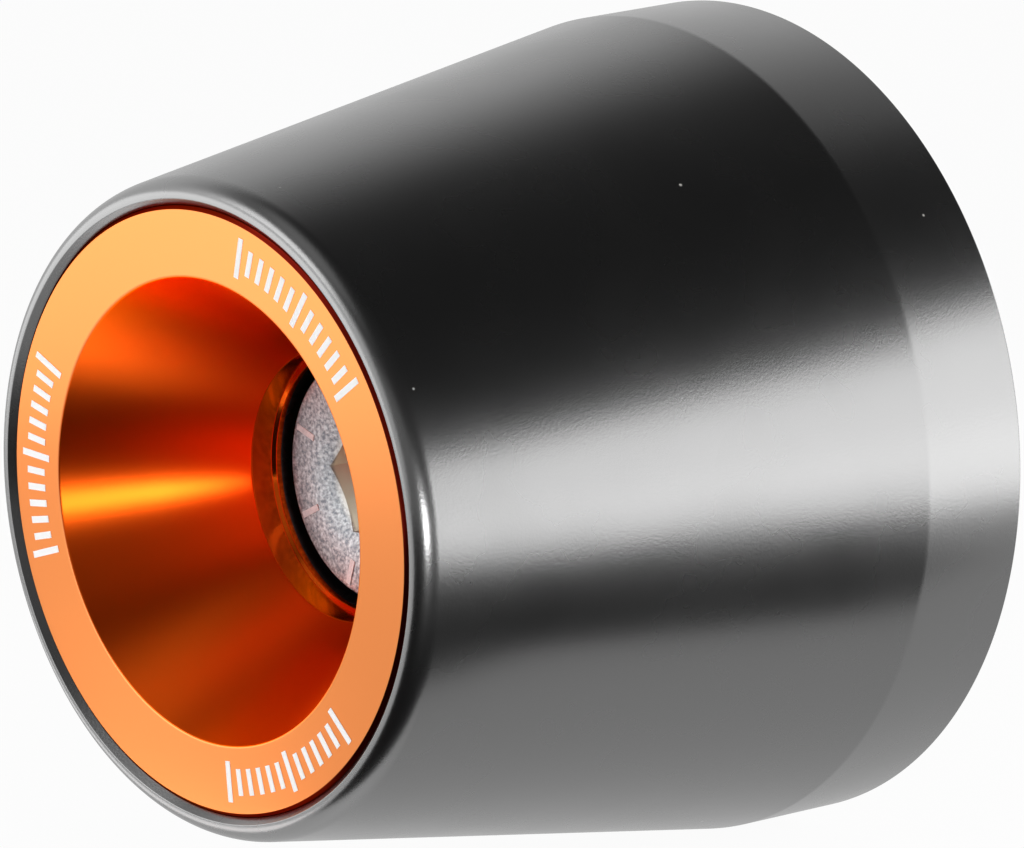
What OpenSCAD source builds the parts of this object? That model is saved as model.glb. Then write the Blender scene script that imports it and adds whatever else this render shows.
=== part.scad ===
// Bar end weight for a motorcycle handlebar, in millimetres.
// A black tapered body holds a pressed-in orange insert with a conical dish,
// and a socket cap screw at the bottom of the dish fixes it to the bar.
// The axis lies level along Y, as it does on the bike. The dish faces -Y, and
// the back face, which meets the end of the bar, is in the plane Y = 0.

/* [Body] */
// Length from the back face to the crest of the front lip
body_len = 29.2; // [26:0.1:40]
// Diameter over the straight band at the back
back_d = 34.2; // [30:0.1:44]
// Length of the straight band
band_len = 5.2; // [2:0.1:9]
// Bevel round the back face
back_bevel = 0.2; // [0.1:0.05:1]
// Width of the lip round the insert, where the taper ends
lip_w = 0.98; // [0.8:0.02:1.6]
// Bevel on the lip's inner edge
lip_bevel = 0.28; // [0.1:0.02:0.35]
// Width of the flat on the lip's crest
crest_w = 0.07; // [0.05:0.01:0.2]
// Length along the axis of the long round from the crest to the taper
lip_run = 1.3; // [0.3:0.1:2]
// Bevel where the screw hole leaves the back face
hole_bevel = 0.5; // [0.2:0.1:1]

/* [Insert] */
// Outside diameter of the insert
insert_d = 25; // [23:0.5:28]
// Depth of the insert's face below the crest of the lip
face_inset = 0.12; // [0:0.02:0.5]
// Bevel round the insert's face
insert_bevel = 0.16; // [0.05:0.01:0.4]
// Width of the flat ring between the dish and the insert's edge
ring_w = 2.9; // [2:0.1:4]
// Broken edge between the ring and the dish
rim_break = 0.12; // [0.05:0.01:0.3]
// Included angle of the dish
dish_angle = 60; // [50:1:80]
// Length of the straight throat below the dish
throat_len = 1.07; // [0.5:0.01:2]
// Step in from the throat to the screw pocket
throat_step = 0.15; // [0.05:0.01:0.5]
// Length of the insert's foot below that step
foot_len = 0.25; // [0.1:0.05:1]

/* [Screw] */
// Thread diameter
screw_d = 6; // [5:1:8]
// Length under the head
screw_len = 25; // [20:1:40]
// Length of the thread, which starts just past the back face
thread_len = 10.3; // [8:0.1:12]
// Diameter of the plain shank, which is the thread's pitch diameter
shank_d = 5.35; // [4.4:0.05:7.2]
// Diameter of the head
head_d = 10.2; // [9:0.1:13]
// Height of the head
head_h = 6; // [4:0.5:8]
// Bevel round the head's face
head_bevel = 0.1; // [0.05:0.05:0.5]
// Depth of the head's face below the end of the dish
head_sink = 1.7; // [0.5:0.1:3]
// Hexagon key size, across flats
key_af = 5; // [4:0.5:6]
// Depth of the hexagon socket
key_depth = 3; // [2:0.5:4]
// Diameter of the countersunk mouth of the socket
mouth_d = 6.8; // [6.6:0.1:8.4]
// Included angle of that mouth
mouth_angle = 126; // [90:1:130]
// Bevel at the screw's tip
tip_bevel = 0.6; // [0.2:0.1:1]

/* [Fits] */
// Radial clearance between the insert and its seat in the body
insert_gap = 0.02; // [0.01:0.01:0.05]
// Radial clearance round the screw's head
head_gap = 0.35; // [0.2:0.05:0.8]
// Radial clearance round the screw's thread
thread_gap = 0.3; // [0.1:0.05:0.6]

/* [Hidden] */

$fn = 128;
arc_steps = 8;
overcut = 1;

back_r = back_d / 2;
insert_r = insert_d / 2;
seat_r = insert_r + insert_gap;
front_r = seat_r + lip_w;
pocket_r = head_d / 2 + head_gap;
throat_r = pocket_r + throat_step;
rim_r = insert_r - ring_w;
thread_r = screw_d / 2;
shank_r = shank_d / 2;
hole_r = thread_r + thread_gap;
mouth_r = mouth_d / 2;

dish_depth = (rim_r - throat_r) / tan(dish_angle / 2);
insert_h = dish_depth + throat_len + throat_step + foot_len;

face_z = body_len - face_inset;
insert_z = face_z - insert_h;
head_face_z = face_z - dish_depth - head_sink;
screw_seat_z = head_face_z - head_h;

// Half angle of the taper
taper = atan((back_r - front_r) / (body_len - band_len));

// The lip's outer round is a quarter of an ellipse that runs into the taper: its
// centre, its reach across the axis, and the angle at which it meets the taper
crest_r = seat_r + lip_bevel + crest_w;
lip_z = body_len - lip_run;
lip_spread = lip_run * tan(taper);
lip_reach = sqrt(pow(front_r + lip_spread - crest_r, 2) - pow(lip_spread, 2));
lip_from = atan(lip_spread / lip_reach);

// Points along an ellipse, from one angle to another
function arc(centre, reach, from, to) = [
    for (i = [0 : arc_steps])
        let (a = from + (to - from) * i / arc_steps)
        centre + [reach[0] * cos(a), reach[1] * sin(a)]
];

// Each piece is turned about +Z with its front up, then laid along the bar
module lay_along_bar() {
    rotate([90, 0, 0]) children();
}

module turned(profile) {
    rotate_extrude() polygon(profile);
}

// Tapered body: band, taper and lip outside; insert seat, screw pocket and
// screw hole inside
module tapered_body() {
    outside = concat(
        [
            [hole_r + hole_bevel, 0],
            [back_r - back_bevel, 0],
            [back_r, back_bevel],
            [back_r, band_len]
        ],
        arc([crest_r, lip_z], [lip_reach, lip_run], lip_from, 90)
    );
    inside = [
        [seat_r + lip_bevel, body_len],
        [seat_r, body_len - lip_bevel],
        [seat_r, insert_z],
        [pocket_r, insert_z],
        [pocket_r, screw_seat_z],
        [hole_r, screw_seat_z],
        [hole_r, hole_bevel]
    ];
    color("#1d1e1e") lay_along_bar() turned(concat(outside, inside));
}

// Insert: a ring with a flat face, a conical dish and a short straight throat
module dish_insert() {
    color("#f07a1e") lay_along_bar() translate([0, 0, insert_z]) turned([
        [pocket_r, 0],
        [insert_r, 0],
        [insert_r, insert_h - insert_bevel],
        [insert_r - insert_bevel, insert_h],
        [rim_r + rim_break, insert_h],
        [rim_r - rim_break * tan(dish_angle / 2), insert_h - rim_break],
        [throat_r, insert_h - dish_depth],
        [throat_r, foot_len + throat_step],
        [pocket_r, foot_len]
    ]);
}

// Cap screw: head and thread turned as one, less the socket
module cap_screw() {
    color("#b9b9bd") lay_along_bar() translate([0, 0, screw_seat_z]) difference() {
        turned([
            [0, -screw_len],
            [thread_r - tip_bevel, -screw_len],
            [thread_r, tip_bevel - screw_len],
            [thread_r, thread_len - screw_len],
            [shank_r, thread_len - screw_len],
            [shank_r, 0],
            [head_d / 2, 0],
            [head_d / 2, head_h - head_bevel],
            [head_d / 2 - head_bevel, head_h],
            [0, head_h]
        ]);
        translate([0, 0, head_h]) key_socket();
    }
}

// Hexagon socket with a countersunk mouth and a drilled bottom, opening at z = 0
module key_socket() {
    corner_r = key_af / 2 / cos(30);
    mouth_slope = 1 / tan(mouth_angle / 2);
    translate([0, 0, -key_depth]) cylinder(r = corner_r, h = key_depth + overcut, $fn = 6);
    translate([0, 0, -mouth_r * mouth_slope])
        cylinder(r1 = 0, r2 = mouth_r + overcut / mouth_slope, h = mouth_r * mouth_slope + overcut);
    translate([0, 0, -key_depth - key_af / 2 * mouth_slope])
        cylinder(r1 = 0, r2 = key_af / 2, h = key_af / 2 * mouth_slope);
}

tapered_body();
dish_insert();
cap_screw();
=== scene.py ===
"""Looks of a motorcycle bar end weight: black blasted body, orange dished insert, zinc cap screw.

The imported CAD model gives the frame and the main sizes. Each of its three pieces is turned
again here with rounded edges and a procedural finish. Lengths are in millimetres until a mesh
or a node takes them, and in metres from there on. The axis lies along Y, with the dish facing -Y.
"""

import logging
import math
from collections.abc import Callable, Sequence
from dataclasses import dataclass
from enum import Enum

import bmesh
import bpy
from mathutils import Matrix, Vector

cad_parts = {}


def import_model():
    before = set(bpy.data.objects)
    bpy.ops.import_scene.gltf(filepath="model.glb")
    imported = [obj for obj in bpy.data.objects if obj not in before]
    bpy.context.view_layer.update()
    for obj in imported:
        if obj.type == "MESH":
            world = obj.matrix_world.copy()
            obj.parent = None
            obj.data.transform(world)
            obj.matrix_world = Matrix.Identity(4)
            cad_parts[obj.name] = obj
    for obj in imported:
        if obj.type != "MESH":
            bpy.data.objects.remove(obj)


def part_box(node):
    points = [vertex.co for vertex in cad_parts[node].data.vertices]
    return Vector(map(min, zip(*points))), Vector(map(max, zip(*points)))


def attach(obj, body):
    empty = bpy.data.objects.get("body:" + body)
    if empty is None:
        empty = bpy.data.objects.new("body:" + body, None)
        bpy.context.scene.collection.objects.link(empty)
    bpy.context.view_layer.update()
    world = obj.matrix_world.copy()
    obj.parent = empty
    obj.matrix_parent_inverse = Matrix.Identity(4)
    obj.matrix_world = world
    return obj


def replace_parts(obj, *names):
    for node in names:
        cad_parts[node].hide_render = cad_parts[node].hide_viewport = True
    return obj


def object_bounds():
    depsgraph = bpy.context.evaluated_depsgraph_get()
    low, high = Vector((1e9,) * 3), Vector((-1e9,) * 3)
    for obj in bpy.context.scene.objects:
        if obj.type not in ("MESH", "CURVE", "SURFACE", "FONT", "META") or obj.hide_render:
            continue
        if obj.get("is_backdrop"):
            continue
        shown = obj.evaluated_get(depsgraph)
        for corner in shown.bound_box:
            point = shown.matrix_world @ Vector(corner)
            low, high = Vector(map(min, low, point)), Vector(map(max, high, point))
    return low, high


log = logging.getLogger("bar_end_weight")

MM = 0.001
BODY = "root"

# Sides of every turned surface, a multiple of six so that the hexagon's corners fall on it
SIDES = 360
# Largest turn between two facets of a rounded edge, in degrees
ROUND_STEP = 9.0
# Distance of the loops that keep a flat side flat beside a rounded edge
SUPPORT_MM = 0.02
# Edges that turn by more than this are shaded sharp, in degrees
SHARP_ANGLE = 28.0
# Facets of the thread round the axis and along it, and the distance at which its seam is welded
THREAD_SIDES, THREAD_ROWS = 96, 300
WELD_MM = 0.0005

# Types of the nodes that come up often
MATH = "ShaderNodeMath"
VECTOR_MATH = "ShaderNodeVectorMath"
MAP_RANGE = "ShaderNodeMapRange"
MIX = "ShaderNodeMix"
NOISE = "ShaderNodeTexNoise"
SPLIT = "ShaderNodeSeparateXYZ"
JOIN = "ShaderNodeCombineXYZ"

Node, Socket, Tree = bpy.types.Node, bpy.types.NodeSocket, bpy.types.NodeTree
Material, Object = bpy.types.Material, bpy.types.Object
Point = tuple[float, float]
Colour = tuple[float, float, float, float]
Ring = Callable[[float], Point]
Inputs = dict[str | int, object]


class Slot(Enum):
    """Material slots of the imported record."""

    BLACK = "black_anodised_aluminium"
    ORANGE = "orange_anodised_aluminium"
    ZINC = "zinc_plated_steel"


def linear(hex_code: str) -> Colour:
    """Turns an sRGB hex colour into linear RGBA.

    Args:
        hex_code: Colour as "#rrggbb".

    Returns:
        Linear red, green, blue and an alpha of 1.
    """
    parts = [int(hex_code[i : i + 2], 16) / 255 for i in (1, 3, 5)]
    red, green, blue = (p / 12.92 if p <= 0.04045 else ((p + 0.055) / 1.055) ** 2.4 for p in parts)
    return (red, green, blue, 1.0)


def add_node(tree: Tree, kind: str, inputs: Inputs | None = None, **settings: object) -> Node:
    """Adds a node with its settings and links.

    Args:
        tree: Tree that gets the node.
        kind: Type name of the node.
        inputs: What goes into each input, by its name or number. A socket is linked, a node is
            linked by its first output, and anything else is the input's value.
        settings: Values by property name.

    Returns:
        The new node.
    """
    node = tree.nodes.new(kind)
    for key, value in settings.items():
        setattr(node, key, value)
    for key, value in (inputs or {}).items():
        if isinstance(value, Node):
            value = value.outputs[0]
        if isinstance(value, Socket):
            tree.links.new(value, node.inputs[key])
        else:
            node.inputs[key].default_value = value
    return node


def new_material(name: str) -> tuple[Material, Tree]:
    """Makes an empty node material.

    Args:
        name: Name of the material.

    Returns:
        The material and its cleared node tree.
    """
    material = bpy.data.materials.new(name)
    material.use_nodes = True
    material.node_tree.nodes.clear()
    return material, material.node_tree


def end_material(tree: Tree, inputs: Inputs) -> None:
    """Ends a material's tree with its shader, which gets these inputs."""
    shader = add_node(tree, "ShaderNodeBsdfPrincipled", inputs)
    add_node(tree, "ShaderNodeOutputMaterial", {"Surface": shader})


def distance_from_axis(tree: Tree, place: Socket) -> Socket:
    """Adds the distance of each point from the Y axis, and gives its socket."""
    across = add_node(tree, VECTOR_MATH, {0: place, 1: (1.0, 0.0, 1.0)}, operation="MULTIPLY")
    return add_node(tree, VECTOR_MATH, {0: across}, operation="LENGTH").outputs["Value"]


def fade(
    value: Socket, place: float, span: Point, first: object = 0.0, last: object = 1.0
) -> Inputs:
    """Gives the inputs of a range that passes from one value to another near a place.

    Args:
        value: Coordinate or distance that it follows.
        place: The place, in millimetres.
        span: Where it starts and ends, in millimetres from the place.
        first: Value where it starts.
        last: Value where it ends.

    Returns:
        Each input by its name.
    """
    start, end = ((place + offset) * MM for offset in span)
    return {"Value": value, "From Min": start, "From Max": end, "To Min": first, "To Max": last}


@dataclass(frozen=True)
class Grain:
    """Fine relief of a surface, drawn with noise in real size."""

    size_mm: float
    height_mm: float
    detail: float = 2.0
    roughness: float = 0.5

    def noise(self, tree: Tree, place: Socket) -> Socket:
        """Adds the noise that the relief follows, and gives the socket of its height."""
        inputs = {
            "Vector": place,
            "Scale": 1 / (self.size_mm * MM),
            "Detail": self.detail,
            "Roughness": self.roughness,
        }
        return add_node(tree, NOISE, inputs).outputs["Fac"]

    def bump(self, tree: Tree, height: Socket, more: Inputs | None = None) -> Node:
        """Adds the bump that the noise gives, with any further inputs."""
        inputs = {"Height": height, "Distance": self.height_mm * MM} | (more or {})
        return add_node(tree, "ShaderNodeBump", inputs)


@dataclass(frozen=True)
class BlastedBlackAnodising:
    """Bead-blasted aluminium with a dyed black oxide layer.

    Blasting leaves a fine even grain, so highlights are broad and break up at their edges. The
    oxide with the bright metal under it reflects about a seventh of the light that falls on it
    squarely, and the dye takes nearly all the rest. The lip's crest is smoothed by the last cut
    and by handling, and shines more.
    """

    colour: str = "#040404"
    dust_colour: str = "#b9b7b2"
    ior: float = 2.2
    crest_ior: float = 3.0
    bevel_fade: Point = (-0.02, 0.0)
    crest_fade: Point = (0.4, 1.0)
    roughness: float = 0.27
    roughness_spread: float = 0.03
    patch_mm: float = 4.0
    # Real blast dimples are about 0.05 mm, and are drawn larger so that they show
    grain: Grain = Grain(0.11, 0.0034, roughness=0.6)
    dust_spacing_mm: float = 3.4
    dust_size_mm: float = 0.085

    def material(self, crest_r: float, crest_y: float) -> Material:
        """Builds the material.

        Args:
            crest_r: Radius at which the lip's crest begins, in millimetres.
            crest_y: Place of the crest along the axis, in millimetres.

        Returns:
            The finished material.
        """
        material, tree = new_material("blasted_black_anodised_aluminium")
        place = add_node(tree, "ShaderNodeTexCoord").outputs["Object"]
        radius = distance_from_axis(tree, place)
        depth = add_node(tree, SPLIT, {0: place}).outputs["Y"]
        at_front = add_node(
            tree, MAP_RANGE, fade(radius, crest_r, self.bevel_fade, self.ior, self.crest_ior)
        )
        ior = add_node(tree, MAP_RANGE, fade(depth, crest_y, self.crest_fade, at_front, self.ior))
        patches = add_node(
            tree, NOISE, {"Vector": place, "Scale": 1 / (self.patch_mm * MM), "Detail": 3.0}
        )
        roughness = add_node(
            tree,
            MAP_RANGE,
            {
                "Value": patches.outputs["Fac"],
                "To Min": self.roughness - self.roughness_spread,
                "To Max": self.roughness + self.roughness_spread,
            },
        )
        dust = self._dust(tree, place)
        colour = add_node(
            tree,
            MIX,
            {"Factor": dust, "A": linear(self.colour), "B": linear(self.dust_colour)},
            data_type="RGBA",
        )
        end_material(
            tree,
            {
                "Base Color": colour.outputs["Result"],
                "IOR": ior,
                "Roughness": roughness,
                "Normal": self.grain.bump(tree, self.grain.noise(tree, place)),
            },
        )
        return material

    def _dust(self, tree: Tree, place: Socket) -> Node:
        """Adds the mask of a few pale dust specks.

        Args:
            tree: Tree that gets the nodes.
            place: Object coordinates.

        Returns:
            A node that gives 1 on a speck and 0 elsewhere.
        """
        scale = 1 / (self.dust_spacing_mm * MM)
        cells = add_node(tree, "ShaderNodeTexVoronoi", {"Vector": place, "Scale": scale})
        share = self.dust_size_mm / self.dust_spacing_mm
        return add_node(
            tree,
            MAP_RANGE,
            {"Value": cells.outputs["Distance"], "From Min": share, "From Max": 0.5 * share},
        )


@dataclass(frozen=True)
class TurnedOrangeAnodising:
    """Finely turned aluminium with a dyed orange oxide layer.

    The dye tints the metal under it, so light that bounces twice in the dish turns a deep
    red-orange. The tool's fine rings draw each highlight out along the dish's slope. The flat
    ring is blasted before it is dyed, and its colour is set paler and even, a painted sheen
    that stands for the untinted light its oxide reflects. The sharp outer bevel is painted dark
    red, a painted shade line for the gap beside it and the dark surroundings that it reflects.
    The throat is reamed and smoother than the dish.
    """

    dish_colour: str = "#f66114"
    # The flat ring's paler colour is a painted sheen for the untinted light that its oxide reflects
    ring_colour_with_painted_sheen: str = "#ed9156"
    # The bevel's dark red is painted shade for the gap beside it and the dark surroundings it
    # reflects
    bevel_painted_shade_colour: str = "#7c1a10"
    edge_tint: str = "#ffb469"
    # Span over which the flat ring's painted sheen comes in
    painted_sheen_fade: Point = (0.03, 0.01)
    # Span over which the bevel's painted shade line comes in
    bevel_fade: Point = (-0.01, 0.02)
    throat_fade: Point = (-0.02, 0.1)
    roughness: float = 0.3
    throat_roughness: float = 0.14
    anisotropy: float = 0.7
    # A quarter of a turn, so that highlights run across the tool's rings
    anisotropic_turn: float = 0.25
    # The real feed is about 0.05 mm a turn, and is drawn wider so that it shows
    grooves: Grain = Grain(0.12, 0.0012)
    grain: Grain = Grain(0.1, 0.0012)

    def material(self, ring_y: float, dish_y: float, bevel_r: float) -> Material:
        """Builds the material.

        Args:
            ring_y: Place of the flat ring along the axis, in millimetres.
            dish_y: Place of the dish's end along the axis, in millimetres.
            bevel_r: Radius at which the outer bevel and its painted shade line begin, in
                millimetres.

        Returns:
            The finished material.
        """
        material, tree = new_material("turned_orange_anodised_aluminium")
        place = add_node(tree, "ShaderNodeTexCoord").outputs["Object"]
        depth = add_node(tree, SPLIT, {0: place}).outputs["Y"]
        radius = distance_from_axis(tree, place)
        painted_sheen_on_ring = add_node(tree, MAP_RANGE, fade(depth, ring_y, self.painted_sheen_fade))
        painted_shade_on_bevel = add_node(tree, MAP_RANGE, fade(radius, bevel_r, self.bevel_fade))
        roughness = add_node(
            tree,
            MAP_RANGE,
            fade(depth, dish_y, self.throat_fade, self.roughness, self.throat_roughness),
        )
        # The flat ring gets its paler colour, a painted sheen, and the outer bevel its dark red, a
        # painted shade line
        colour: object = linear(self.dish_colour)
        for mask, other in ((painted_sheen_on_ring, self.ring_colour_with_painted_sheen), (painted_shade_on_bevel, self.bevel_painted_shade_colour)):
            inputs = {"Factor": mask, "A": colour, "B": linear(other)}
            colour = add_node(tree, MIX, inputs, data_type="RGBA").outputs["Result"]
        across = add_node(
            tree, VECTOR_MATH, {0: (0.0, 1.0, 0.0), 1: place}, operation="CROSS_PRODUCT"
        )
        end_material(
            tree,
            {
                "Base Color": colour,
                "Metallic": 1.0,
                "Roughness": roughness,
                "Specular Tint": linear(self.edge_tint),
                "Anisotropic": self.anisotropy,
                "Anisotropic Rotation": self.anisotropic_turn,
                "Tangent": across,
                "Normal": self._surface(tree, place, radius),
            },
        )
        return material

    def _surface(self, tree: Tree, place: Socket, radius: Socket) -> Node:
        """Adds the turned rings and the grain of the oxide.

        Args:
            tree: Tree that gets the nodes.
            place: Object coordinates.
            radius: Distance from the axis.

        Returns:
            The bump node.
        """
        scale = 1 / (self.grooves.size_mm * MM)
        turns = add_node(
            tree,
            NOISE,
            {"W": radius, "Scale": scale, "Detail": self.grooves.detail},
            noise_dimensions="1D",
        )
        rings = self.grooves.bump(tree, turns.outputs["Fac"])
        return self.grain.bump(tree, self.grain.noise(tree, place), {"Normal": rings})


@dataclass(frozen=True)
class ZincPlating:
    """Forged steel with dull zinc plating.

    The plating follows the grain of the forged face, which is mottled and sparkles. The broached
    socket, the sides and the thread are smoother, with the faint straw tint of the passivate.
    """

    name: str = "zinc_plated_steel"
    light: str = "#e2ebee"
    dark: str = "#87929b"
    smooth: str = "#efece2"
    face_fade: Point = (0.5, 0.3)
    # Part of the noise's range that goes from the dark tone to the light one
    mottle: Point = (0.35, 0.65)
    roughness: float = 0.55
    smooth_roughness: float = 0.35
    grain: Grain = Grain(0.16, 0.012, detail=4.0, roughness=0.6)

    def material(self, face_y: float) -> Material:
        """Builds the material.

        Args:
            face_y: Place of the head's face along the axis, in millimetres.

        Returns:
            The finished material.
        """
        material, tree = new_material(self.name)
        place = add_node(tree, "ShaderNodeTexCoord").outputs["Object"]
        depth = add_node(tree, SPLIT, {0: place}).outputs["Y"]
        forged = add_node(tree, MAP_RANGE, fade(depth, face_y, self.face_fade))
        height = self.grain.noise(tree, place)
        first, last = self.mottle
        tone = add_node(tree, MAP_RANGE, {"Value": height, "From Min": first, "From Max": last})
        mottled = add_node(
            tree,
            MIX,
            {"Factor": tone, "A": linear(self.dark), "B": linear(self.light)},
            data_type="RGBA",
        )
        colour = add_node(
            tree,
            MIX,
            {"Factor": forged, "A": linear(self.smooth), "B": mottled.outputs["Result"]},
            data_type="RGBA",
        )
        roughness = add_node(
            tree,
            MAP_RANGE,
            {"Value": forged, "To Min": self.smooth_roughness, "To Max": self.roughness},
        )
        end_material(
            tree,
            {
                "Base Color": colour.outputs["Result"],
                "Metallic": 1.0,
                "Roughness": roughness,
                "Normal": self.grain.bump(tree, height, {"Strength": forged}),
            },
        )
        return material


@dataclass(frozen=True)
class EtchedWhite:
    """Laser-etched marks: the beam bleaches the dye and leaves a matt white."""

    colour: str = "#ffffff"
    roughness: float = 0.7
    grain: Grain = Grain(0.08, 0.004)

    def material(self) -> Material:
        """Builds the material.

        Returns:
            The finished material.
        """
        material, tree = new_material("etched_white")
        place = add_node(tree, "ShaderNodeTexCoord").outputs["Object"]
        end_material(
            tree,
            {
                "Base Color": linear(self.colour),
                "Roughness": self.roughness,
                "Normal": self.grain.bump(tree, self.grain.noise(tree, place)),
            },
        )
        return material


@dataclass(frozen=True)
class Corner:
    """Corner of a turned outline, in millimetres, with the radius of its rounded edge."""

    r: float
    y: float
    rounding: float = 0.0


def rounded_corner(before: Vector, corner: Corner, after: Vector) -> list[Point]:
    """Gives the points that stand for one corner of an outline.

    Args:
        before: Place of the corner before this one.
        corner: The corner.
        after: Place of the corner after it.

    Returns:
        The corner itself, or the points of its rounded edge and the loops beside it.
    """
    here = Vector((corner.r, corner.y))
    to_before, to_after = (before - here).normalized(), (after - here).normalized()
    turn = math.pi - to_before.angle(to_after)
    if corner.rounding <= 0 or turn < 1e-6:
        return [(corner.r, corner.y)]
    reach = corner.rounding * math.tan(turn / 2)
    centre = here + (to_before + to_after).normalized() * (corner.rounding / math.cos(turn / 2))
    start = here + to_before * reach - centre
    end = here + to_after * reach - centre
    sense = 1 if start.x * end.y > start.y * end.x else -1
    steps = max(2, math.ceil(math.degrees(turn) / ROUND_STEP))
    points = [here + to_before * (reach + SUPPORT_MM)]
    for i in range(steps + 1):
        a = sense * turn * i / steps
        turned = (
            start.x * math.cos(a) - start.y * math.sin(a),
            start.x * math.sin(a) + start.y * math.cos(a),
        )
        points.append(centre + Vector(turned))
    points.append(here + to_after * (reach + SUPPORT_MM))
    return [(p.x, p.y) for p in points]


def outline(corners: Sequence[Corner], closed: bool) -> list[Point]:
    """Rounds the corners of a turned outline.

    Args:
        corners: The corners in order.
        closed: Whether the last corner joins the first.

    Returns:
        Radius and place along the axis of each point.
    """
    points: list[Point] = []
    places = [Vector((c.r, c.y)) for c in corners]
    for i, corner in enumerate(corners):
        if not closed and i in (0, len(corners) - 1):
            points.append((corner.r, corner.y))
        else:
            points += rounded_corner(places[i - 1], corner, places[(i + 1) % len(corners)])
    return points


def round_ring(point: Point) -> Ring:
    """Gives the ring that a point of an outline sweeps, as a function of the angle."""
    return lambda angle: point


def mesh_from_rings(name: str, rings: Sequence[Ring], closed: bool) -> Object:
    """Joins rings round the Y axis into a closed surface.

    Args:
        name: Name of the object.
        rings: Radius and place along the axis at each angle, in millimetres.
        closed: Whether the last ring joins the first. If not, each end closes on the axis.

    Returns:
        The object, smooth but for its sharp edges.
    """
    mesh = bmesh.new()
    angles = [2 * math.pi * i / SIDES for i in range(SIDES)]
    loops = []
    for ring in rings:
        spots = [(angle, *ring(angle)) for angle in angles]
        loops.append(
            [
                mesh.verts.new((r * math.cos(a) * MM, y * MM, r * math.sin(a) * MM))
                for a, r, y in spots
            ]
        )
    pairs = list(zip(loops, loops[1:]))
    if closed:
        pairs.append((loops[-1], loops[0]))
    for low, high in pairs:
        for i in range(SIDES):
            k = (i + 1) % SIDES
            mesh.faces.new((low[i], low[k], high[k], high[i]))
    if not closed:
        for loop in (loops[0], loops[-1]):
            centre = sum((v.co for v in loop), Vector()) / SIDES
            pole = mesh.verts.new((0.0, centre.y, 0.0))
            for i in range(SIDES):
                mesh.faces.new((loop[i], loop[(i + 1) % SIDES], pole))
    bmesh.ops.recalc_face_normals(mesh, faces=mesh.faces)
    return finished_object(name, mesh)


def finished_object(name: str, source: bmesh.types.BMesh) -> Object:
    """Turns a bmesh into an object in the scene, smooth but for its sharp edges.

    Args:
        name: Name of the object.
        source: The mesh, which is freed.

    Returns:
        The new object.
    """
    data = bpy.data.meshes.new(name)
    source.to_mesh(data)
    source.free()
    data.shade_smooth()
    data.set_sharp_from_angle(angle=math.radians(SHARP_ANGLE))
    piece = bpy.data.objects.new(name, data)
    bpy.context.scene.collection.objects.link(piece)
    return piece


def dress(piece: Object, material: Material) -> None:
    """Gives a piece its material and its place on the frame.

    Args:
        piece: The finished piece.
        material: Its material.
    """
    piece.data.materials.clear()
    piece.data.materials.append(material)
    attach(piece, BODY)
    log.info("%s: %d faces", piece.name, len(piece.data.polygons))


@dataclass
class NodeBox:
    """Main sizes of a turned CAD node, in millimetres."""

    radius: float
    front: float
    back: float

    @classmethod
    def of(cls, node: str) -> "NodeBox":
        """Reads the sizes of the CAD node of this name from the frame."""
        low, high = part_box(node)
        return cls(radius=high.x / MM, front=low.y / MM, back=high.y / MM)


@dataclass
class TaperedBody:
    """Black body: straight band, taper and rounded lip, with its seat and screw hole."""

    box: NodeBox
    seat_r: float
    seat_y: float
    pocket_r: float
    screw_seat_y: float
    band: float = 5.2
    lip_w: float = 0.98
    lip_bevel: float = 0.28
    crest_w: float = 0.07
    lip_run: float = 1.3
    lip_steps: int = 24
    back_bevel: float = 0.2
    band_round: float = 1.2
    edge: float = 0.05
    hole_r: float = 3.3
    hole_bevel: float = 0.5
    node: str = "tapered_body"

    def build(self, finish: BlastedBlackAnodising) -> Object:
        """Builds and dresses the body.

        Args:
            finish: Its finish.

        Returns:
            The piece.
        """
        r, front, back = self.box.radius, self.box.front, self.box.back
        outside = [
            Corner(self.hole_r + self.hole_bevel, back, self.edge),
            Corner(r - self.back_bevel, back, self.edge),
            Corner(r, back - self.back_bevel, self.edge),
            Corner(r, back - self.band, self.band_round),
        ]
        inside = [
            Corner(self.seat_r + self.lip_bevel, front, self.edge),
            Corner(self.seat_r, front + self.lip_bevel, self.edge),
            Corner(self.seat_r, self.seat_y),
            Corner(self.pocket_r, self.seat_y),
            Corner(self.pocket_r, self.screw_seat_y),
            Corner(self.hole_r, self.screw_seat_y),
            Corner(self.hole_r, back - self.hole_bevel, self.edge),
        ]
        points = outline([*outside, *self._lip(), *inside], closed=True)
        piece = mesh_from_rings("body_shell", [round_ring(p) for p in points], closed=True)
        dress(piece, finish.material(self.seat_r + self.lip_bevel, front))
        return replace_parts(piece, self.node)

    def _lip(self) -> list[Corner]:
        """Gives the lip's long outer round, a quarter of an ellipse that runs into the taper.

        Returns:
            Its points, from the taper to the crest.
        """
        front_r = self.seat_r + self.lip_w
        crest_r = self.seat_r + self.lip_bevel + self.crest_w
        length = self.box.back - self.band - self.box.front
        spread = self.lip_run * (self.box.radius - front_r) / length
        reach = math.sqrt((front_r + spread - crest_r) ** 2 - spread**2)
        first = math.atan(spread / reach)
        middle_y = self.box.front + self.lip_run
        angles = [
            first + (math.pi / 2 - first) * i / self.lip_steps for i in range(self.lip_steps + 1)
        ]
        return [
            Corner(crest_r + reach * math.cos(a), middle_y - self.lip_run * math.sin(a))
            for a in angles
        ]


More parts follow.
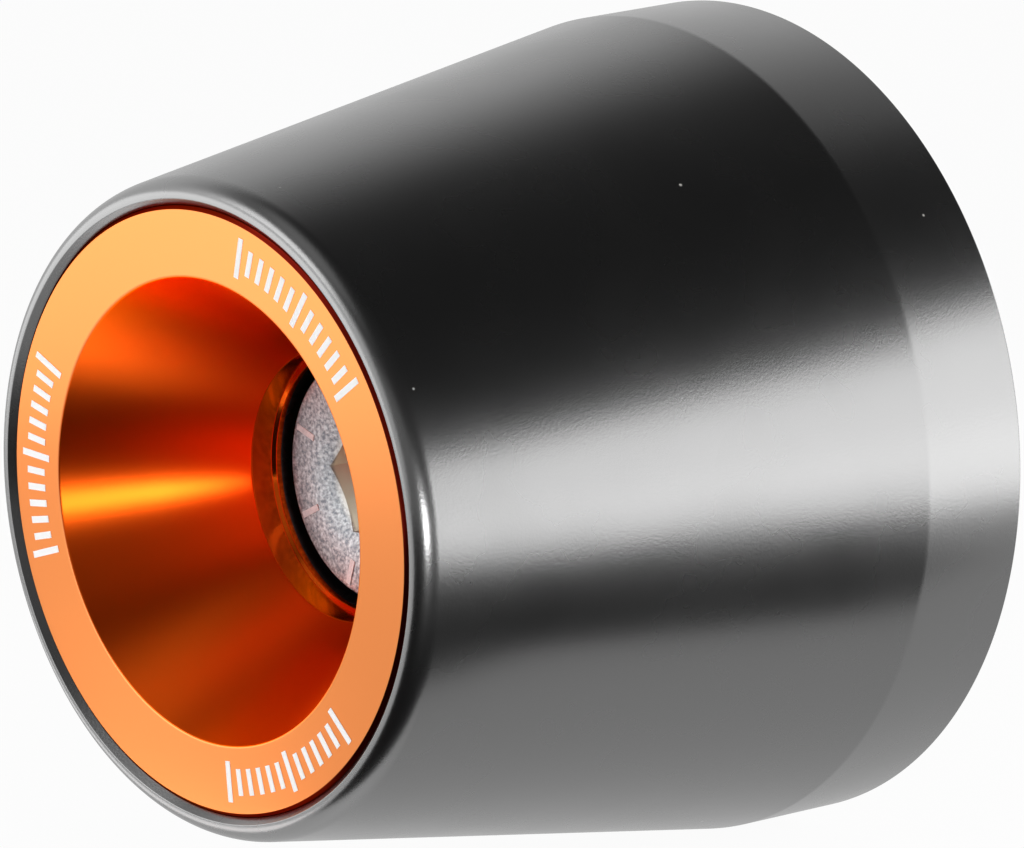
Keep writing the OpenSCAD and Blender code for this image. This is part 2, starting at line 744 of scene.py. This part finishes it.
@dataclass
class DishInsert:
    """Orange insert: flat ring, conical dish and short throat."""

    box: NodeBox
    pocket_r: float
    bevel: float = 0.16
    ring_w: float = 2.9
    rim_round: float = 0.14
    edge: float = 0.05
    dish_angle: float = 60.0
    throat_step: float = 0.15
    foot: float = 0.25
    throat_round: float = 0.2
    node: str = "dish_insert"

    def build(self, finish: TurnedOrangeAnodising) -> Object:
        """Builds and dresses the insert.

        Args:
            finish: Its finish.

        Returns:
            The piece.
        """
        r, front, back = self.box.radius, self.box.front, self.box.back
        rim_r, throat_r = r - self.ring_w, self.pocket_r + self.throat_step
        dish_y = front + (rim_r - throat_r) / math.tan(math.radians(self.dish_angle / 2))
        corners = [
            Corner(self.pocket_r, back),
            Corner(r, back, self.edge),
            Corner(r, front + self.bevel, self.edge),
            Corner(r - self.bevel, front, self.edge),
            Corner(rim_r, front, self.rim_round),
            Corner(throat_r, dish_y, self.throat_round),
            Corner(throat_r, back - self.foot - self.throat_step, self.edge),
            Corner(self.pocket_r, back - self.foot, self.edge),
        ]
        rings = [round_ring(p) for p in outline(corners, closed=True)]
        piece = mesh_from_rings("dish_ring", rings, closed=True)
        dress(piece, finish.material(front, dish_y, r - self.bevel))
        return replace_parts(piece, self.node)


@dataclass
class CapScrew:
    """Zinc-plated cap screw: head with its hexagon socket, plain shank and thread."""

    box: NodeBox
    head_r: float = 5.1
    head_h: float = 6.0
    head_bevel: float = 0.1
    shank_r: float = 2.675
    thread_r: float = 3.0
    thread_root_r: float = 2.39
    thread_len: float = 10.3
    pitch: float = 1.0
    tip_bevel: float = 0.6
    key_af: float = 5.0
    key_depth: float = 3.0
    # The drill's radius as a share of the hexagon's inner one, and its tip's as a share of that
    drill_share: float = 0.96
    tip_share: float = 0.02
    mouth_r: float = 3.4
    mouth_angle: float = 126.0
    edge: float = 0.05
    node: str = "cap_screw"

    def build(self, material: Material) -> Object:
        """Builds and dresses the screw.

        Args:
            material: The plating.

        Returns:
            The piece.
        """
        piece = join_pieces("screw", [self._head_and_shank(), self._thread(material)])
        dress(piece, material)
        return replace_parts(piece, self.node)

    def _hexagon_r(self, angle: float) -> float:
        """Gives the hexagon's radius at an angle, with a corner on the X axis."""
        from_flat = (math.degrees(angle) % 60) - 30
        return self.key_af / 2 / math.cos(math.radians(from_flat))

    def _head_and_shank(self) -> Object:
        """Builds the head, its socket and the plain shank as one closed surface.

        Returns:
            The undressed piece.
        """
        face = self.box.front
        under = face + self.head_h
        # The shank runs half a turn into the thread and closes inside it
        shank_end = self.box.back - self.thread_len + 0.5 * self.pitch
        slope = 1 / math.tan(math.radians(self.mouth_angle / 2))
        turned = outline(
            [
                Corner(0.5 * self.shank_r, shank_end),
                Corner(self.shank_r, shank_end),
                Corner(self.shank_r, under, self.head_bevel),
                Corner(self.head_r, under, self.edge),
                Corner(self.head_r, face + self.head_bevel, self.edge),
                Corner(self.head_r - self.head_bevel, face, self.edge),
                Corner(self.mouth_r, face),
            ],
            closed=False,
        )
        floor = face + self.key_depth
        drill_r = self.drill_share * self.key_af / 2
        drill_end = floor + (1 - self.tip_share) * drill_r * slope
        rings = [round_ring(p) for p in turned]
        rings += [
            lambda a: (
                self._hexagon_r(a),
                face + (self.mouth_r - self._hexagon_r(a)) * slope,
            ),
            lambda a: (self._hexagon_r(a), floor),
            round_ring((drill_r, floor)),
            round_ring((self.tip_share * drill_r, drill_end)),
        ]
        return mesh_from_rings("screw_head", rings, closed=False)

    def _thread(self, material: Material) -> Object:
        """Builds the thread with Geometry Nodes.

        Args:
            material: The screw's material.

        Returns:
            The undressed thread, closed at both ends.
        """
        inputs = {
            "Start": (self.box.back - self.thread_len) * MM,
            "Length": self.thread_len * MM,
            "Crest": self.thread_r * MM,
            "Root": self.thread_root_r * MM,
            "Pitch": self.pitch * MM,
            "Bevel": self.tip_bevel * MM,
        }
        return grown_piece("screw_thread", thread_tree(material), inputs)


def join_pieces(name: str, pieces: Sequence[Object]) -> Object:
    """Joins pieces into one object.

    Args:
        name: Name of the joined object.
        pieces: The pieces, which are removed.

    Returns:
        The joined object.
    """
    whole = bmesh.new()
    for piece in pieces:
        whole.from_mesh(piece.data)
        bpy.data.objects.remove(piece)
    return finished_object(name, whole)


def new_geometry_tree(name: str, sizes: dict[str, str]) -> tuple[Tree, object]:
    """Makes a Geometry Nodes tree with named inputs and one geometry output.

    Args:
        name: Name of the tree.
        sizes: Socket type of each named input.

    Returns:
        The tree, and the outputs of its input node by name.
    """
    tree = bpy.data.node_groups.new(name, "GeometryNodeTree")
    for size, kind in sizes.items():
        tree.interface.new_socket(size, in_out="INPUT", socket_type=kind)
    tree.interface.new_socket("Geometry", in_out="OUTPUT", socket_type="NodeSocketGeometry")
    return tree, add_node(tree, "NodeGroupInput").outputs


def end_geometry_tree(tree: Tree, geometry: Node, material: Material) -> Tree:
    """Ends a Geometry Nodes tree: instances made real, material set.

    Args:
        tree: The tree.
        geometry: The node that gives what the tree has made.
        material: Its material.

    Returns:
        The finished tree.
    """
    real = add_node(tree, "GeometryNodeRealizeInstances", {"Geometry": geometry})
    dressed = add_node(tree, "GeometryNodeSetMaterial", {"Geometry": real, "Material": material})
    add_node(tree, "NodeGroupOutput", {0: dressed})
    return tree


def thread_tree(material: Material) -> Tree:
    """Makes the tree that cuts a 60 degree thread on a rod along Y.

    A grid is rolled into a tube whose radius follows the thread's form and its bevelled ends.
    The grid's first and last rows lie on the axis and close it.

    Args:
        material: The thread's material.

    Returns:
        The tree, with its sizes as named inputs.
    """
    names = ("Start", "Length", "Crest", "Root", "Pitch", "Bevel")
    tree, size = new_geometry_tree("thread", dict.fromkeys(names, "NodeSocketFloat"))
    grid = add_node(
        tree,
        "GeometryNodeMeshGrid",
        {
            "Size X": 1.0,
            "Size Y": 1.0,
            "Vertices X": THREAD_SIDES + 1,
            "Vertices Y": THREAD_ROWS + 1,
        },
    )
    spot = add_node(tree, "GeometryNodeInputPosition")
    place = add_node(tree, SPLIT, {0: spot}).outputs
    angle = add_node(
        tree,
        MAP_RANGE,
        {"Value": place["X"], "From Min": -0.5, "From Max": 0.5, "To Max": 2 * math.pi},
    )
    inner = 0.5 - 1 / THREAD_ROWS
    along = add_node(
        tree,
        MAP_RANGE,
        {"Value": place["Y"], "From Min": -inner, "From Max": inner, "To Max": size["Length"]},
    )
    share = add_node(tree, MATH, {0: place["X"], 1: 0.5}, operation="ADD")
    turns = add_node(tree, MATH, {0: along, 1: size["Pitch"]}, operation="DIVIDE")
    phase = add_node(tree, MATH, {0: turns, 1: share}, operation="ADD")
    double = add_node(tree, MATH, {0: phase, 1: 2.0}, operation="MULTIPLY")
    wave = add_node(tree, MATH, {0: double, 1: 1.0}, operation="PINGPONG")
    # The root is flat for a quarter of the pitch and the crest for an eighth, as on a metric thread
    formed = add_node(
        tree,
        MAP_RANGE,
        {
            "Value": wave,
            "From Min": 0.25,
            "From Max": 0.875,
            "To Min": size["Root"],
            "To Max": size["Crest"],
        },
    )
    end_r = add_node(tree, MATH, {0: size["Crest"], 1: size["Bevel"]}, operation="SUBTRACT")
    bevel_y = add_node(tree, MATH, {0: size["Length"], 1: size["Bevel"]}, operation="SUBTRACT")
    tip = add_node(
        tree,
        MAP_RANGE,
        {
            "Value": along,
            "From Min": bevel_y,
            "From Max": size["Length"],
            "To Min": size["Crest"],
            "To Max": end_r,
        },
    )
    start = add_node(
        tree,
        MAP_RANGE,
        {"Value": along, "From Max": size["Bevel"], "To Min": end_r, "To Max": size["Crest"]},
    )
    ends = add_node(tree, MATH, {0: tip, 1: start}, operation="MINIMUM")
    skin = add_node(tree, MATH, {0: formed, 1: ends}, operation="MINIMUM")
    from_middle = add_node(tree, MATH, {0: place["Y"]}, operation="ABSOLUTE")
    off_axis = add_node(
        tree, MATH, {0: from_middle, 1: 0.5 - 0.5 / THREAD_ROWS}, operation="LESS_THAN"
    )
    radius = add_node(tree, MATH, {0: skin, 1: off_axis}, operation="MULTIPLY")
    rolled = {
        "X": on_circle(tree, radius, angle, "COSINE"),
        "Y": add_node(tree, MATH, {0: size["Start"], 1: along}, operation="ADD"),
        "Z": on_circle(tree, radius, angle, "SINE"),
    }
    position = add_node(tree, JOIN, rolled)
    tube = add_node(tree, "GeometryNodeSetPosition", {"Geometry": grid, "Position": position})
    sealed = add_node(
        tree, "GeometryNodeMergeByDistance", {"Geometry": tube, "Distance": WELD_MM * MM}
    )
    return end_geometry_tree(tree, sealed, material)


def on_circle(tree: Tree, radius: Node | Socket, angle: Node, function: str) -> Node:
    """Adds X ("COSINE") or Z ("SINE") of a point on a circle round Y, at an angle from +X to +Z."""
    share = add_node(tree, MATH, {0: angle}, operation=function)
    return add_node(tree, MATH, {0: radius, 1: share}, operation="MULTIPLY")


def mark_tree(material: Material) -> Tree:
    """Makes the tree that sets rows of plain radial ticks on a face square to Y.

    Args:
        material: The ticks' material.

    Returns:
        The tree, with its sizes and counts as named inputs.
    """
    lengths = ("Face", "Radius", "Length", "Short", "Width", "Thickness", "First", "Step")
    kinds = dict.fromkeys(lengths, "NodeSocketFloat")
    kinds |= dict.fromkeys(("Rows", "Ticks", "Long Every"), "NodeSocketInt")
    tree, size = new_geometry_tree("radial_ticks", kinds)
    index = add_node(tree, "GeometryNodeInputIndex")
    ratio = add_node(tree, MATH, {0: index, 1: size["Ticks"]}, operation="DIVIDE")
    row = add_node(tree, MATH, {0: ratio}, operation="FLOOR")
    tick = add_node(tree, MATH, {0: index, 1: size["Ticks"]}, operation="MODULO")
    row_step = add_node(tree, MATH, {0: 2 * math.pi, 1: size["Rows"]}, operation="DIVIDE")
    row_angle = add_node(
        tree, MATH, {0: row, 1: row_step, 2: size["First"]}, operation="MULTIPLY_ADD"
    )
    middle = add_node(tree, MATH, {0: size["Ticks"], 1: 0.5, 2: -0.5}, operation="MULTIPLY_ADD")
    from_middle = add_node(tree, MATH, {0: tick, 1: middle}, operation="SUBTRACT")
    angle = add_node(
        tree, MATH, {0: from_middle, 1: size["Step"], 2: row_angle}, operation="MULTIPLY_ADD"
    )
    place_in_long = add_node(tree, MATH, {0: tick, 1: size["Long Every"]}, operation="MODULO")
    length = add_node(
        tree,
        MAP_RANGE,
        {"Value": place_in_long, "To Min": size["Length"], "To Max": size["Short"]},
    )
    spot = {
        "X": on_circle(tree, size["Radius"], angle, "COSINE"),
        "Y": size["Face"],
        "Z": on_circle(tree, size["Radius"], angle, "SINE"),
    }
    count = add_node(tree, MATH, {0: size["Rows"], 1: size["Ticks"]}, operation="MULTIPLY")
    points = add_node(
        tree, "GeometryNodePoints", {"Count": count, "Position": add_node(tree, JOIN, spot)}
    )
    opposite = add_node(tree, MATH, {0: angle, 1: -1.0}, operation="MULTIPLY")
    turn = add_node(tree, JOIN, {"Y": opposite})
    stretch = add_node(tree, JOIN, {"X": length, "Y": size["Thickness"], "Z": size["Width"]})
    bar = add_node(tree, "GeometryNodeMeshCube", {"Size": (1.0, 1.0, 1.0)})
    placed = add_node(
        tree,
        "GeometryNodeInstanceOnPoints",
        {"Points": points, "Instance": bar, "Rotation": turn, "Scale": stretch},
    )
    return end_geometry_tree(tree, placed, material)


def grown_piece(name: str, tree: Tree, inputs: dict[str, float | int]) -> Object:
    """Runs a Geometry Nodes tree and keeps its result as a plain mesh.

    Args:
        name: Name of the piece.
        tree: The tree.
        inputs: Value of each named input.

    Returns:
        The piece, with no modifier.
    """
    carrier = bpy.data.objects.new(name + "_carrier", bpy.data.meshes.new(name))
    bpy.context.scene.collection.objects.link(carrier)
    modifier = carrier.modifiers.new(tree.name, "NODES")
    modifier.node_group = tree
    sockets = {
        item.name: item.identifier for item in tree.interface.items_tree if item.in_out == "INPUT"
    }
    for label, value in inputs.items():
        modifier[sockets[label]] = value
    bpy.context.view_layer.update()
    evaluated = carrier.evaluated_get(bpy.context.evaluated_depsgraph_get())
    data = bpy.data.meshes.new_from_object(evaluated)
    bpy.data.objects.remove(carrier)
    source = bmesh.new()
    source.from_mesh(data)
    bmesh.ops.recalc_face_normals(source, faces=source.faces)
    return finished_object(name, source)


@dataclass
class RadialMarks:
    """Plain radial ticks on a flat face, in millimetres and degrees."""

    name: str
    face: float
    radius: float
    length: float
    short: float
    width: float
    thickness: float
    first: float
    step: float
    rows: int
    ticks: int
    long_every: int

    def build(self, material: Material) -> Object:
        """Builds and dresses the ticks.

        Args:
            material: Their material.

        Returns:
            The piece.
        """
        inputs = {
            "Face": self.face * MM,
            "Radius": self.radius * MM,
            "Length": self.length * MM,
            "Short": self.short * MM,
            "Width": self.width * MM,
            "Thickness": self.thickness * MM,
            "First": math.radians(self.first),
            "Step": math.radians(self.step),
            "Rows": self.rows,
            "Ticks": self.ticks,
            "Long Every": self.long_every,
        }
        piece = grown_piece(self.name, mark_tree(material), inputs)
        dress(piece, material)
        return piece


def direction(azimuth: float, elevation: float) -> Vector:
    """Gives the unit vector towards a place round the part.

    Args:
        azimuth: Degrees from -Y, positive towards +X.
        elevation: Degrees above the horizon.

    Returns:
        The unit vector.
    """
    a, e = math.radians(azimuth), math.radians(elevation)
    return Vector((math.sin(a) * math.cos(e), -math.cos(a) * math.cos(e), math.sin(e)))


@dataclass
class Softbox:
    """Rectangular studio lamp aimed at the part, with its size as seen from the part."""

    name: str
    azimuth: float
    elevation: float
    width_angle: float
    height_angle: float
    radiance: float
    distance: float

    def build(self, target: Vector) -> None:
        """Places the lamp.

        Args:
            target: Point that it faces, in metres.
        """
        data = bpy.data.lights.new(self.name, "AREA")
        data.shape = "RECTANGLE"
        data.size = 2 * self.distance * math.tan(math.radians(self.width_angle / 2))
        data.size_y = 2 * self.distance * math.tan(math.radians(self.height_angle / 2))
        data.energy = self.radiance * math.pi * data.size * data.size_y
        lamp = bpy.data.objects.new(self.name, data)
        towards = direction(self.azimuth, self.elevation)
        lamp.location = target + towards * self.distance
        lamp.rotation_mode = "QUATERNION"
        lamp.rotation_quaternion = towards.to_track_quat("Z", "Y")
        lamp.visible_camera = False
        bpy.context.scene.collection.objects.link(lamp)


@dataclass
class Card:
    """Card that lies on the floor, with its corners along X and Y in millimetres."""

    name: str
    corners: tuple[Point, ...]
    colour: str
    glow: float = 0.0


@dataclass
class Patch:
    """Soft-edged part of the surroundings, in degrees of elevation and azimuth.

    Its radiance rises from none at the first elevation to full at the second, and falls from
    full at the third to none at the fourth. Round its azimuth it is full within one angle and
    none past another.
    """

    radiance: float
    rise: tuple[float, float]
    fall: tuple[float, float]
    azimuth: float
    full: float
    none: float


@dataclass
class Studio:
    """Camera, lamps, pale floor and the surroundings that the metal reflects."""

    floor_z: float
    azimuth: float = 49.35
    elevation: float = 13.32
    distance: float = 0.4841
    aim: tuple[float, float, float] = (0.00740, -0.01920, 0.00347)
    lens: float = 421.9
    floor_colour: str = "#f0f0ef"
    # Half the floor's width in metres, and the share of an even white glow in what the camera
    # and reflections see of it
    floor_size: float = 3.0
    floor_glow: float = 0.95
    card_height_mm: float = 0.5
    # Radiance of the surroundings outside all patches
    room: float = 0.04
    softboxes: tuple[Softbox, ...] = (
        Softbox("key", 128.0, 2.0, 66.0, 36.0, 4.6, 0.062),
        Softbox("spark", 68.0, -1.0, 14.0, 8.0, 22.0, 0.16),
        Softbox("front", -50.0, 4.0, 56.0, 30.0, 1.4, 0.09),
        Softbox("upper", -30.0, 38.0, 34.0, 22.0, 2.0, 0.7),
    )
    cards: tuple[Card, ...] = (
        # Darkens what the front and right of the part reflect, and gives the broad highlight on
        # the taper its clear lower edge
        Card(
            "black_card",
            # Round the part first, then out to the floor's far corner and back
            ((4.0, -33.0), (20.0, -25.0), (27.0, -16.0), (28.0, 0.0), (34.0, 16.0), (90.0, 40.0))
            + ((400.0, 40.0), (400.0, -400.0), (10.0, -400.0)),
            "#2c2c2c",
        ),
        # Carries the front light down to the floor, so that the lip shines at its lower left too
        Card(
            "light_panel",
            ((-40.0, -29.5), (-18.0, -30.5), (1.0, -31.5), (1.0, -36.5), (-40.0, -37.5)),
            "#ffffff",
            1.9,
        ),
    )
    patches: tuple[Patch, ...] = (
        # White backdrop on the left and behind
        Patch(1.1, (-91.0, -90.0), (26.0, 62.0), -85.0, 85.0, 105.0),
        # Dim room in front
        Patch(0.3, (-91.0, -90.0), (22.0, 55.0), 20.0, 20.0, 50.0),
        # Pale ceiling over the front
        Patch(0.4, (45.0, 70.0), (91.0, 92.0), -30.0, 50.0, 100.0),
    )

    def build(self) -> None:
        """Sets up the camera, the lamps, the floor and the world."""
        self._camera()
        for softbox in self.softboxes:
            softbox.build(Vector(self.aim))
        self._floor()
        for card in self.cards:
            self._lay(card)
        self._world()
        bpy.context.scene.view_settings.view_transform = "Standard"

    def _camera(self) -> None:
        """Places the camera at the photograph's angle."""
        data = bpy.data.cameras.new("camera")
        data.lens = self.lens
        data.clip_start, data.clip_end = 0.01, 20.0
        camera = bpy.data.objects.new("camera", data)
        back = direction(self.azimuth, self.elevation)
        camera.location = Vector(self.aim) + back * self.distance
        camera.rotation_mode = "QUATERNION"
        camera.rotation_quaternion = back.to_track_quat("Z", "Y")
        bpy.context.scene.collection.objects.link(camera)
        bpy.context.scene.camera = camera

    def _floor(self) -> None:
        """Lays a pale matt floor that keeps the part's shadow."""
        material, tree = new_material("pale_floor")
        matt = add_node(tree, "ShaderNodeBsdfDiffuse", {"Color": linear(self.floor_colour)})
        glow = add_node(tree, "ShaderNodeEmission", {"Strength": 1.0})
        ray = add_node(tree, "ShaderNodeLightPath").outputs
        seen = add_node(
            tree, MATH, {0: ray["Is Camera Ray"], 1: ray["Is Glossy Ray"]}, operation="ADD"
        )
        shown = add_node(
            tree, MATH, {0: seen, 1: ray["Is Transmission Ray"]}, operation="ADD", use_clamp=True
        )
        share = add_node(tree, MATH, {0: shown, 1: self.floor_glow}, operation="MULTIPLY")
        mixed = add_node(tree, "ShaderNodeMixShader", {0: share, 1: matt, 2: glow})
        add_node(tree, "ShaderNodeOutputMaterial", {"Surface": mixed})
        source = bmesh.new()
        bmesh.ops.create_grid(
            source,
            x_segments=1,
            y_segments=1,
            size=self.floor_size,
            matrix=Matrix.Translation((0.0, 0.0, self.floor_z)),
        )
        floor = finished_object("floor", source)
        floor.data.materials.append(material)
        floor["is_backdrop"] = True

    def _lay(self, card: Card) -> None:
        """Lays a card beside the part, where only reflections see it.

        Args:
            card: The card.
        """
        material, tree = new_material(card.name)
        matt = add_node(tree, "ShaderNodeBsdfDiffuse", {"Color": linear(card.colour)})
        glow = add_node(tree, "ShaderNodeEmission", {"Strength": card.glow})
        both = add_node(tree, "ShaderNodeAddShader", {0: matt, 1: glow})
        add_node(tree, "ShaderNodeOutputMaterial", {"Surface": both})
        source = bmesh.new()
        height = self.floor_z + self.card_height_mm * MM
        source.faces.new([source.verts.new((x * MM, y * MM, height)) for x, y in card.corners])
        sheet = finished_object(card.name, source)
        sheet.data.materials.append(material)
        sheet.visible_camera = False
        sheet.visible_diffuse = False
        sheet.visible_shadow = False
        sheet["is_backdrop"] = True

    def _world(self) -> None:
        """Makes the surroundings: pale table and backdrop, dark above."""
        world = bpy.data.worlds.new("studio")
        world.use_nodes = True
        tree = world.node_tree
        tree.nodes.clear()
        towards = add_node(tree, "ShaderNodeTexCoord").outputs["Generated"]
        height = add_node(tree, SPLIT, {0: towards}).outputs["Z"]
        arc_sine = add_node(tree, MATH, {0: height}, operation="ARCSINE")
        elevation = add_node(tree, MATH, {0: arc_sine}, operation="DEGREES")
        level = add_node(tree, VECTOR_MATH, {0: towards, 1: (1, 1, 0)}, operation="MULTIPLY")
        heading = add_node(tree, VECTOR_MATH, {0: level}, operation="NORMALIZE")
        total: Node | float = self.room
        for patch in self.patches:
            amount = self._patch(tree, patch, elevation, heading)
            total = add_node(tree, MATH, {0: amount, 1: total}, operation="MAXIMUM")
        surround = add_node(
            tree, "ShaderNodeBackground", {"Color": linear("#ffffff"), "Strength": total}
        )
        add_node(tree, "ShaderNodeOutputWorld", {"Surface": surround})
        bpy.context.scene.world = world

    @staticmethod
    def _patch(tree: Tree, patch: Patch, elevation: Node, heading: Node) -> Node | float:
        """Adds one part of the surroundings.

        Args:
            tree: Tree that gets the nodes.
            patch: The part.
            elevation: Elevation of the ray, in degrees.
            heading: Level unit vector of the ray.

        Returns:
            Its radiance.
        """
        facing = add_node(
            tree,
            VECTOR_MATH,
            {0: heading, 1: direction(patch.azimuth, 0.0)},
            operation="DOT_PRODUCT",
        ).outputs["Value"]
        none, full = (math.cos(math.radians(angle)) for angle in (patch.none, patch.full))
        total: Node | float = patch.radiance
        for value, (start, end), low, high in (
            (elevation, patch.rise, 0.0, 1.0),
            (elevation, patch.fall, 1.0, 0.0),
            (facing, (none, full), 0.0, 1.0),
        ):
            inputs = {"Value": value, "From Min": start, "From Max": end}
            inputs |= {"To Min": low, "To Max": high}
            amount = add_node(tree, MAP_RANGE, inputs, interpolation_type="SMOOTHSTEP")
            total = add_node(tree, MATH, {0: amount, 1: total}, operation="MULTIPLY")
        return total


def main() -> None:
    """Builds every piece and the studio."""
    logging.basicConfig(level=logging.INFO)
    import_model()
    cad_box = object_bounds()
    body_box, insert_box = NodeBox.of("tapered_body"), NodeBox.of("dish_insert")
    seat_gap, head_gap = 0.02, 0.35
    screw = CapScrew(NodeBox.of("cap_screw"))
    pocket_r = screw.head_r + head_gap
    TaperedBody(
        body_box,
        seat_r=insert_box.radius + seat_gap,
        seat_y=insert_box.back,
        pocket_r=pocket_r,
        screw_seat_y=screw.box.front + screw.head_h,
    ).build(BlastedBlackAnodising())
    DishInsert(insert_box, pocket_r=pocket_r).build(TurnedOrangeAnodising())
    screw.build(ZincPlating().material(screw.box.front))
    RadialMarks(
        name="ring_marks",
        face=insert_box.front,
        radius=insert_box.radius - 1.45,
        length=1.7,
        short=1.1,
        width=0.28,
        thickness=0.03,
        first=58.0,
        step=3.5,
        rows=3,
        ticks=13,
        long_every=6,
    ).build(EtchedWhite().material())
    struck = ZincPlating(
        name="die_struck_zinc_plated_steel", light="#ffffff", dark="#eeeef0", roughness=0.65
    )
    RadialMarks(
        name="head_marks",
        face=screw.box.front,
        radius=4.3,
        length=1.1,
        short=1.1,
        width=0.26,
        thickness=0.1,
        first=163.0,
        step=0.0,
        rows=8,
        ticks=1,
        long_every=1,
    ).build(struck.material(screw.box.front))
    Studio(floor_z=cad_box[0].z).build()


if __name__ == "__main__":
    main()
